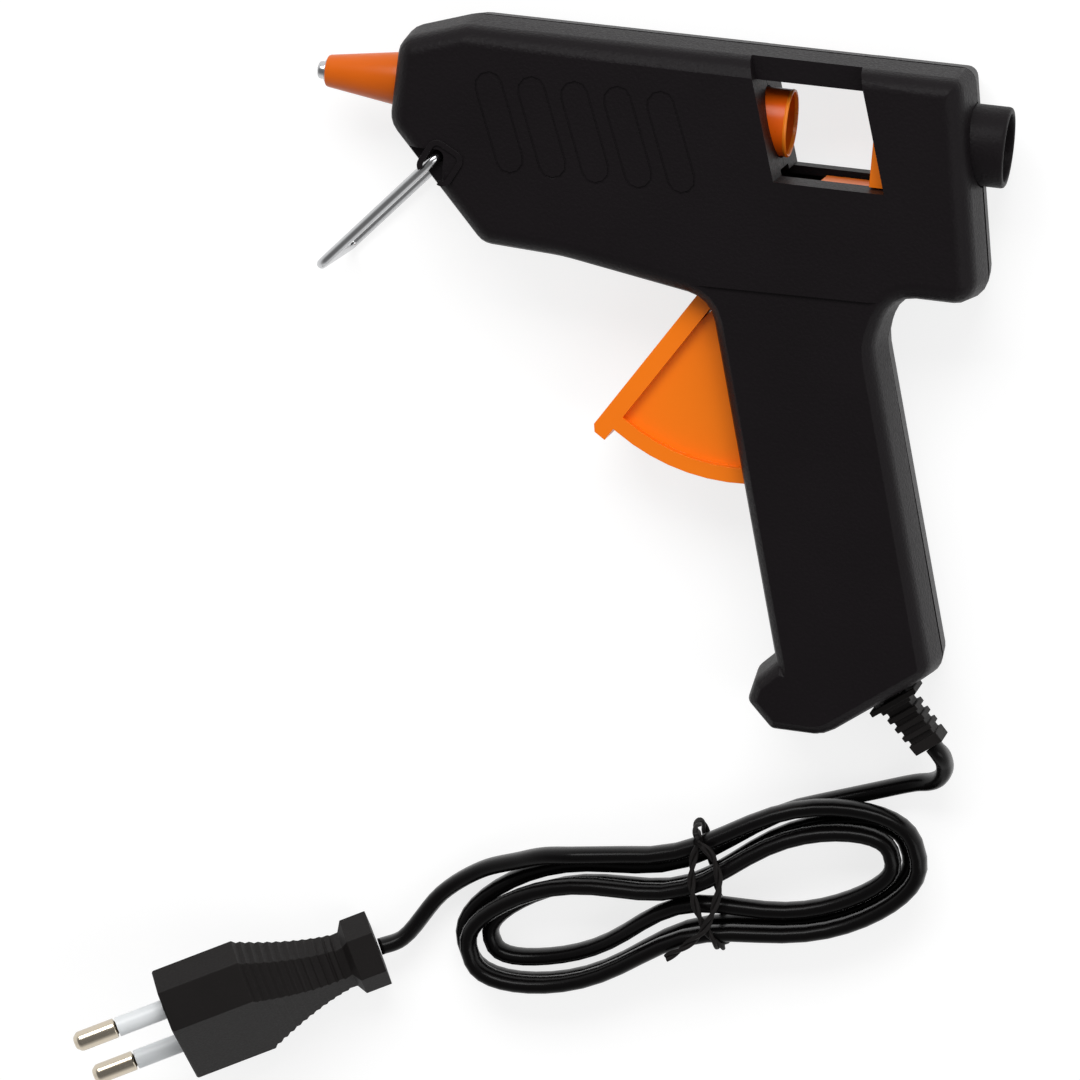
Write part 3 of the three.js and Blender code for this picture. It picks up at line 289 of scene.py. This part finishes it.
def wear(piece, material):
    piece.data.materials.clear()
    piece.data.materials.append(material)


gloss_pvc = finish("gloss black pvc", (0.0018, 0.0016, 0.0016), (0.0035, 0.003, 0.0032), 0.27,
                   rough_spread=0.05, cell=900, bump=0.05, coat=0.03, gloss=0.12)
cord = flat_tube("mains_cord", cord_line, CORD_WIDE, CORD_THICK)
wear(cord, gloss_pvc)
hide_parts("cord_lead", "cord_hank", "cord_tail")
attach(cord, "housing")

# Boot and plug: matt black rubbery plastic. The plug's insulated pins have white
# sleeves at their roots and polished metal ends.
matt_rubber = finish("matt black rubber", (0.0075, 0.0064, 0.0062), (0.0112, 0.0096, 0.0093), 0.6,
                     rough_spread=0.1, cell=2200, blotch=90, bump=0.25, bump_size=0.00012, gloss=0.14)
white_plastic = finish("white pin sleeve", (0.78, 0.81, 0.83), (0.84, 0.86, 0.87), 0.35, cell=900, bump=0.04)
warm_nickel = finish("polished pin metal", (0.66, 0.58, 0.46), (0.58, 0.52, 0.43), 0.2, rough_spread=0.07,
                     cell=1600, blotch=160, bump=0.05, metal=1.0)
SAME_SPOT = 0.000002
SAME_PLANE = math.radians(0.6)
SEAM_LONG = 0.012
SEAM_NEAR = 0.0002


def open_seam(form, level, width):
    """One flank of the groove where two halves meet, along the long edges in the parting plane."""
    seam = [edge for edge in form.edges if edge.is_manifold and edge.calc_length() > SEAM_LONG
            and all(abs(vert.co.z - level) < SEAM_NEAR for vert in edge.verts)
            and edge.calc_face_angle() > 1]
    bmesh.ops.bevel(form, geom=seam, offset=width, affect="EDGES", segments=1, profile=0.5,
                    clamp_overlap=False, material=-1)


def dressed(node, body, material, edge, smooth=38, seam=0):
    """A copy of a moulded or machined piece with its sharp edges rounded and its curves smooth."""
    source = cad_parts[node]
    form = bmesh.new()
    form.from_mesh(source.data)
    bmesh.ops.remove_doubles(form, verts=form.verts, dist=SAME_SPOT)
    bmesh.ops.dissolve_limit(form, angle_limit=SAME_PLANE, verts=form.verts, edges=form.edges)
    if seam:
        open_seam(form, barrel.z, seam)
    mesh = bpy.data.meshes.new(node + "_finished")
    form.to_mesh(mesh)
    form.free()
    mesh.shade_smooth()
    mesh.set_sharp_from_angle(angle=math.radians(smooth))
    piece = bpy.data.objects.new(node + "_finished", mesh)
    bpy.context.scene.collection.objects.link(piece)
    if edge:
        bevel = piece.modifiers.new("rounded edges", "BEVEL")
        bevel.width = edge
        bevel.segments = 2
        bevel.limit_method = "ANGLE"
        bevel.angle_limit = math.radians(smooth + 2)
        bevel.use_clamp_overlap = True
        even = piece.modifiers.new("flat faces", "WEIGHTED_NORMAL")
        even.keep_sharp = True
        even.weight = 80
    wear(piece, material)
    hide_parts(node)
    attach(piece, body)
    return piece


boot = dressed("strain_relief", "housing", matt_rubber, 0.00025)
plug = [dressed("plug_body", "housing", matt_rubber, 0.0004, smooth=20)]
for number in (1, 2):
    plug.append(dressed("pin_sleeve_%d" % number, "housing", white_plastic, 0.00015))
    plug.append(dressed("plug_pin_%d" % number, "housing", warm_nickel, 0.0003, smooth=30))

# Twist tie: two thin black coated wires twisted together, passed once round the hank's
# waist, knotted over its far edge and left lying across the top.
TIE_STRAND = 0.00042
TIE_PITCH = 0.01
TIE_KNOT = 0.0011
TIE_STEPS = 14
KNOT_STEP = math.radians(20)
KNOT_POINTS = 40
wrap_stops = [
    (0.0075, 0.013, 0.0024), (0.0048, 0.008, 0.0019), (0.0034, 0.002, 0.0018), (0.004, -0.004, 0.0018),
    (0.005, -0.0072, 0.0014), (0.0052, -0.009, -0.0008), (0.0052, -0.0094, -0.006), (0.005, -0.0084, -0.0108),
    (0.005, -0.004, -0.0118), (0.0055, 0.005, -0.0118), (0.006, 0.0125, -0.0114), (0.0063, 0.0146, -0.008),
    (0.0068, 0.0149, -0.003), (0.0074, 0.0144, 0.001), (0.0078, 0.0134, 0.0026),
]
tail_stops = [
    (0.0072, 0.0134, 0.0029), (0.0094, 0.0095, 0.0024), (0.0092, 0.004, 0.0021), (0.0066, -0.0012, 0.0026),
    (0.0036, -0.0045, 0.0027), (-0.0008, -0.0068, 0.0021), (-0.0052, -0.0084, 0.0013),
]


def across_hank(stops):
    """Places given along and across the hank, put where it lies."""
    turn, tilt = math.cos(HANK_TURN), math.sin(HANK_TURN)
    return [barrel + Vector((HANK_CENTRE[0] + u * turn - v * tilt, HANK_CENTRE[1] + u * tilt + v * turn, z))
            for u, v, z in stops]


def twisted_pair(line):
    """Two strands wound round a line, half a turn apart."""
    strands = [[], []]
    guide = (line[1] - line[0]).orthogonal().normalized()
    travel = 0
    for i, point in enumerate(line):
        ahead = (line[min(i + 1, len(line) - 1)] - line[max(i - 1, 0)]).normalized()
        guide = (guide - ahead * guide.dot(ahead)).normalized()
        travel += (point - line[max(i - 1, 0)]).length
        turn = 2 * math.pi * travel / TIE_PITCH
        offset = (guide * math.cos(turn) + ahead.cross(guide) * math.sin(turn)) * TIE_STRAND
        strands[0].append(point + offset)
        strands[1].append(point - offset)
    return strands


def wire_piece(name, lines, radius):
    """Round wires along lines of points, from a bevelled curve with closed ends."""
    path = bpy.data.curves.new(name + "_path", "CURVE")
    path.dimensions = "3D"
    path.bevel_depth = radius
    path.bevel_resolution = 6
    path.use_fill_caps = True
    for line in lines:
        spline = path.splines.new("POLY")
        spline.points.add(len(line) - 1)
        for spot, point in zip(spline.points, line):
            spot.co = (*point, 1)
    holder = bpy.data.objects.new(name + "_path", path)
    mesh = bpy.data.meshes.new_from_object(holder)
    mesh.name = name
    bpy.data.objects.remove(holder)
    mesh.shade_smooth()
    mesh.set_sharp_from_angle(angle=math.radians(50))
    piece = bpy.data.objects.new(name, mesh)
    bpy.context.scene.collection.objects.link(piece)
    return piece


knot_turns = [(0.0076 + 0.0004 * math.sin(3 * turn), 0.0132 + TIE_KNOT * math.cos(turn),
               0.0026 + TIE_KNOT * math.sin(turn)) for turn in (KNOT_STEP * i for i in range(KNOT_POINTS))]
tie_lines = twisted_pair(smooth_route(across_hank(wrap_stops), TIE_STEPS))
tie_lines += twisted_pair(smooth_route(across_hank(tail_stops), TIE_STEPS))
tie_lines.append(across_hank(knot_turns))
tie = wire_piece("wire_tie", tie_lines, TIE_STRAND)
wear(tie, matt_rubber)
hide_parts("twist_tie")
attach(tie, "housing")

# Housing: two half shells moulded in black plastic, with a fine spark texture, a
# parting line round the middle, and leaning oval marks cut into both sides.
shell_plastic = finish("textured black plastic", (0.0072, 0.0058, 0.0066), (0.0102, 0.0082, 0.0094), 0.44,
                       rough_spread=0.12, cell=1700, blotch=45, bump=0.6, bump_size=0.00018, gloss=0.08)
HOUSING_EDGE = 0.00045
dressed("housing_left", "housing", shell_plastic, HOUSING_EDGE, seam=0.0007)
dressed("housing_right", "housing", shell_plastic, HOUSING_EDGE)

# A raised frame round the ear hole on the side that shows, open where the wire leaves.
EAR_AT = (0.01205, -0.01295)
EAR_TURN = math.radians(-28)
EAR_WAY = math.radians(256)
EAR_SIZE = 0.0076
EAR_ROUND = 0.0021
EAR_LINE = 0.0011
EAR_PROUD = 0.0004
EAR_SEAT = 0.0001
EAR_GAP = math.radians(24)
form = bmesh.new()
bmesh.ops.create_grid(form, x_segments=1, y_segments=1, size=EAR_SIZE / 2)
bmesh.ops.bevel(form, geom=form.verts[:], offset=EAR_ROUND, affect="VERTICES", segments=6, profile=0.5,
                material=-1)
inset = bmesh.ops.inset_region(form, faces=form.faces[:], thickness=EAR_LINE, use_boundary=True)
rim = set(inset["faces"])
way_out = Vector((math.cos(EAR_WAY), math.sin(EAR_WAY), 0))
rim = {face for face in rim if face.calc_center_median().angle(way_out) > EAR_GAP}
bmesh.ops.delete(form, geom=[face for face in form.faces if face not in rim], context="FACES_ONLY")
raised = bmesh.ops.extrude_face_region(form, geom=form.faces[:])
top = [item for item in raised["geom"] if isinstance(item, bmesh.types.BMVert)]
bmesh.ops.translate(form, verts=top, vec=(0, 0, EAR_PROUD + EAR_SEAT))
bmesh.ops.translate(form, verts=form.verts, vec=(0, 0, -EAR_SEAT))
place = Matrix.Translation(barrel + Vector((*EAR_AT, HOUSING_HALF)))
bmesh.ops.transform(form, verts=form.verts, matrix=place @ Matrix.Rotation(EAR_TURN, 4, "Z"))
bmesh.ops.recalc_face_normals(form, faces=form.faces)
mesh = bpy.data.meshes.new("ear_frame")
form.to_mesh(mesh)
form.free()
ear_frame = bpy.data.objects.new("ear_frame", mesh)
bpy.context.scene.collection.objects.link(ear_frame)
rounding = ear_frame.modifiers.new("rounded edges", "BEVEL")
rounding.width = 0.0001
rounding.segments = 2
wear(ear_frame, shell_plastic)
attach(ear_frame, "housing")


# Glue path: parts turned about the barrel's axis, spun from their profiles. The metal
# tip, the silicone cone and feed sleeve, and the black inlet tube.
def spun(name, profile, body, material, replaced, steps=72):
    """A closed profile of (along, radius) pairs spun round the barrel axis."""
    form = bmesh.new()
    ring = [form.verts.new(barrel + Vector((along, radius, 0))) for along, radius in profile]
    edges = [form.edges.new((a, b)) for a, b in zip(ring, ring[1:] + ring[:1])]
    bmesh.ops.spin(form, geom=ring + edges, cent=barrel, axis=(1, 0, 0), angle=2 * math.pi, steps=steps,
                   use_merge=True)
    bmesh.ops.remove_doubles(form, verts=form.verts, dist=0.000001)
    bmesh.ops.recalc_face_normals(form, faces=form.faces)
    mesh = bpy.data.meshes.new(name)
    form.to_mesh(mesh)
    form.free()
    mesh.shade_smooth()
    mesh.set_sharp_from_angle(angle=math.radians(35))
    piece = bpy.data.objects.new(name, mesh)
    bpy.context.scene.collection.objects.link(piece)
    wear(piece, material)
    if replaced:
        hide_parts(replaced)
    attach(piece, body)
    return piece


silicone = finish("orange silicone", (0.74, 0.12, 0.002), (0.82, 0.16, 0.004), 0.32, rough_spread=0.06,
                  cell=700, blotch=80, bump=0.06, transmission=0.12, gloss=0.2)
bright_steel = finish("bright plated steel", (0.62, 0.63, 0.64), (0.5, 0.5, 0.51), 0.22, rough_spread=0.08,
                      cell=1800, blotch=200, bump=0.05, metal=1.0)
spun("nozzle_tip", [
    (-0.0158, 0.0013), (-0.0156, 0.0016), (-0.0152, 0.0017), (-0.0144, 0.0017), (-0.0144, 0.0022),
    (0, 0.0037), (0.0087, 0.0037), (0.0087, 0.0018), (0, 0.0009), (-0.0158, 0.0009),
], "housing", bright_steel, "nozzle")
spun("nozzle_cone", [
    (-0.0141, 0.0024), (-0.0141, 0.0027), (-0.01395, 0.00295), (-0.0136, 0.0031), (-0.0005, 0.00505),
    (0, 0.0051), (0.0025, 0.0051), (0.0025, 0.0066), (0.0039, 0.0066), (0.0039, 0.0043), (0, 0.0043),
], "housing", silicone, "nozzle_sleeve")
red_silicone = finish("red orange silicone", (0.62, 0.07, 0.001), (0.74, 0.12, 0.003), 0.3,
                      rough_spread=0.06, cell=700, blotch=120, bump=0.06, gloss=0.25)
# The feed sleeve's end lip is a lighter orange than the sleeve: a painted highlight on its rim.
painted_highlight_silicone = finish("silicone lip painted highlight", (0.84, 0.19, 0.008), (0.88, 0.24, 0.015), 0.3, cell=700, bump=0.05)
spun("feed_tube", [
    (0.0423, 0.0059), (0.0423, 0.0064), (0.0755, 0.0064), (0.0755, 0.0059),
], "housing", red_silicone, "feed_sleeve")
spun("feed_lip", [
    (0.0755, 0.00585), (0.0755, 0.0064), (0.0758, 0.0065), (0.0761, 0.0064), (0.0762, 0.0062),
    (0.0761, 0.00595), (0.0758, 0.00585),
], "housing", painted_highlight_silicone, None)
spun("inlet_ring", [
    (0.1, 0.00635), (0.1, 0.0092), (0.1029, 0.0092), (0.1029, 0.00765), (0.1168, 0.00765), (0.1172, 0.0075),
    (0.1174, 0.0072), (0.1174, 0.0067), (0.1172, 0.00645), (0.1168, 0.00635),
], "housing", shell_plastic, "inlet_tube")

# Trigger and carriage: glossy orange plastic, moulded in one colour.
orange_plastic = finish("orange plastic", (0.96, 0.19, 0.002), (1.0, 0.22, 0.003), 0.36, rough_spread=0.07,
                        cell=1500, blotch=50, bump=0.06, coat=0.03, gloss=0.3)
dressed("trigger", "trigger", orange_plastic, 0.0004)
dressed("carriage", "carriage", orange_plastic, 0.0002)

# Stand: one bright wire bent to a loop, its ends turned into the ears of the nose.
STAND_AT = (0.0111, -0.012)
STAND_ANGLE = math.radians(228)
LEG_LENGTH = 0.0315
WIRE = 0.00095
PEG = 0.0045
LEG_SIDE = HOUSING_HALF - WIRE - 0.0003
LEG_BEND = WIRE * 2
stand_root = barrel + Vector((*STAND_AT, 0))
leg_way = Vector((math.cos(STAND_ANGLE), math.sin(STAND_ANGLE), 0))


def stand_spot(along, side):
    return stand_root + leg_way * along + Vector((0, 0, side))


def rounded(before, knee, after, steps=8):
    return [before.lerp(knee, t).lerp(knee.lerp(after, t), t) for t in (i / steps for i in range(steps + 1))]


stand_line = [stand_spot(0, LEG_SIDE - PEG)]
for knee, before, after in (
    ((0, LEG_SIDE), (0, LEG_SIDE - LEG_BEND), (LEG_BEND, LEG_SIDE)),
    ((LEG_LENGTH, LEG_SIDE), (LEG_LENGTH - LEG_BEND, LEG_SIDE), (LEG_LENGTH, LEG_SIDE - LEG_BEND)),
    ((LEG_LENGTH, -LEG_SIDE), (LEG_LENGTH, LEG_BEND - LEG_SIDE), (LEG_LENGTH - LEG_BEND, -LEG_SIDE)),
    ((0, -LEG_SIDE), (LEG_BEND, -LEG_SIDE), (0, LEG_BEND - LEG_SIDE)),
):
    stand_line += rounded(stand_spot(*before), stand_spot(*knee), stand_spot(*after))
stand_line.append(stand_spot(0, PEG - LEG_SIDE))
stand_wire = wire_piece("wire_stand", [stand_line], WIRE)
wear(stand_wire, bright_steel)
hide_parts("stand")
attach(stand_wire, "stand")

# Inside the housing: the melt chamber with its heater and clip, the jaw that grips
# the stick, pivots, screws, leads and the cord clamp.
cast_alloy = finish("cast alloy", (0.36, 0.36, 0.37), (0.45, 0.45, 0.46), 0.45, cell=1400, blotch=120,
                    bump=0.2, metal=1.0)
pale_ceramic = finish("pale ceramic", (0.66, 0.62, 0.53), (0.72, 0.68, 0.6), 0.7, cell=1200, bump=0.15)
blue_sheath = finish("blue lead sheath", (0.03, 0.08, 0.33), (0.04, 0.1, 0.38), 0.4, cell=900, bump=0.05)
inner_pieces = [
    ("melt_chamber", "housing", "alloy", cast_alloy, 0.0003),
    ("heater_element", "housing", "ceramic", pale_ceramic, 0.0002),
    ("heater_clip", "housing", "alloy", cast_alloy, 0.0001),
    ("clamp_jaw", "clamp_jaw", "alloy", cast_alloy, 0.0001),
    ("jaw_pin", "carriage", "steel", bright_steel, 0.0001),
    ("trigger_pin", "housing", "steel", bright_steel, 0.0002),
    ("trigger_spring", "housing", "steel", bright_steel, 0),
    ("inner_cord", "housing", "cord", gloss_pvc, 0.0003),
    ("cord_clamp", "housing", "shell", shell_plastic, 0.0002),
    ("clamp_screw_1", "housing", "steel", bright_steel, 0.0001),
    ("clamp_screw_2", "housing", "steel", bright_steel, 0.0001),
    ("lead_wire_1", "housing", "lead", blue_sheath, 0),
    ("lead_wire_2", "housing", "lead", blue_sheath, 0),
]
for node, body, slot, material, edge in inner_pieces:
    dressed(node, body, material, edge)
for number in range(1, 6):
    dressed("housing_screw_%d" % number, "housing", bright_steel, 0.00015)

# Floor and light: a pale floor that shows white and keeps the shadow, a broad soft panel
# over the tool's top, a weaker one at its rear, and a pale room with a darker ceiling.
FLOOR_HALF = 2.0
FLOOR_DROP = 0.0002
FLOOR_LIT = 0.8
FLOOR_SEEN = 0.3
FLOOR_GLOW = 0.78
ROOM_LIGHT = 0.33
CEILING_SEEN = 0.2
floor_form = bmesh.new()
bmesh.ops.create_grid(floor_form, x_segments=1, y_segments=1, size=FLOOR_HALF,
                      matrix=Matrix.Translation((0, 0, -FLOOR_DROP)))
floor_mesh = bpy.data.meshes.new("floor")
floor_form.to_mesh(floor_mesh)
floor_form.free()
floor = bpy.data.objects.new("floor", floor_mesh)
bpy.context.scene.collection.objects.link(floor)


def seen_directly(tree):
    """1 for rays from the camera, from a mirror or through glass, and 0 for light on the tool."""
    path = tree.nodes.new("ShaderNodeLightPath")
    total = path.outputs["Is Camera Ray"]
    for name in ("Is Glossy Ray", "Is Transmission Ray"):
        either = tree.nodes.new("ShaderNodeMath")
        either.operation = "MAXIMUM"
        tree.links.new(total, either.inputs[0])
        tree.links.new(path.outputs[name], either.inputs[1])
        total = either.outputs["Value"]
    return total


pale = bpy.data.materials.new("pale floor")
pale.use_nodes = True
nodes, links = pale.node_tree.nodes, pale.node_tree.links
shader = nodes["Principled BSDF"]
shader.inputs["Roughness"].default_value = 0.9
shader.inputs["Specular IOR Level"].default_value = 0.1
shader.inputs["Emission Color"].default_value = (1, 1, 1, 1)
direct = seen_directly(pale.node_tree)
tone = nodes.new("ShaderNodeMix")
tone.data_type = "RGBA"
tone.inputs["A"].default_value = (FLOOR_LIT, FLOOR_LIT, FLOOR_LIT, 1)
tone.inputs["B"].default_value = (FLOOR_SEEN, FLOOR_SEEN, FLOOR_SEEN, 1)
links.new(direct, tone.inputs["Factor"])
links.new(tone.outputs["Result"], shader.inputs["Base Color"])
glow = nodes.new("ShaderNodeMath")
glow.operation = "MULTIPLY"
glow.inputs[1].default_value = FLOOR_GLOW
links.new(direct, glow.inputs[0])
links.new(glow.outputs["Value"], shader.inputs["Emission Strength"])
wear(floor, pale)

world = bpy.data.worlds.new("studio")
world.use_nodes = True
nodes, links = world.node_tree.nodes, world.node_tree.links
room = nodes["Background"]
room.inputs["Color"].default_value = (1, 1, 1, 1)
way = nodes.new("ShaderNodeTexCoord")
height = nodes.new("ShaderNodeSeparateXYZ")
ceiling = nodes.new("ShaderNodeMapRange")
ceiling.inputs["From Min"].default_value = 0.2
ceiling.inputs["From Max"].default_value = 0.8
ceiling.inputs["To Min"].default_value = 1
ceiling.inputs["To Max"].default_value = CEILING_SEEN
strength = nodes.new("ShaderNodeMix")
strength.inputs["A"].default_value = ROOM_LIGHT
links.new(way.outputs["Generated"], height.inputs["Vector"])
links.new(height.outputs["Z"], ceiling.inputs["Value"])
links.new(seen_directly(world.node_tree), strength.inputs["Factor"])
links.new(ceiling.outputs["Result"], strength.inputs["B"])
links.new(strength.outputs["Result"], room.inputs["Strength"])
bpy.context.scene.world = world


def panel(name, place, aim, size, power):
    light = bpy.data.lights.new(name, "AREA")
    light.shape = "RECTANGLE"
    light.size, light.size_y = size
    light.energy = power
    lamp = bpy.data.objects.new(name, light)
    bpy.context.scene.collection.objects.link(lamp)
    facing = (Vector(aim) - Vector(place)).to_track_quat("-Z", "Y")
    lamp.matrix_world = Matrix.Translation(place) @ facing.to_matrix().to_4x4()
    return lamp


panel("top_panel", place=(-0.1, 0.9, 0.9), aim=(0, 0, 0), size=(1.0, 0.6), power=12)
panel("rear_panel", place=(0.9, -0.1, 0.8), aim=(0, 0, 0), size=(0.5, 0.9), power=3)
bpy.context.scene.view_settings.view_transform = "Standard"
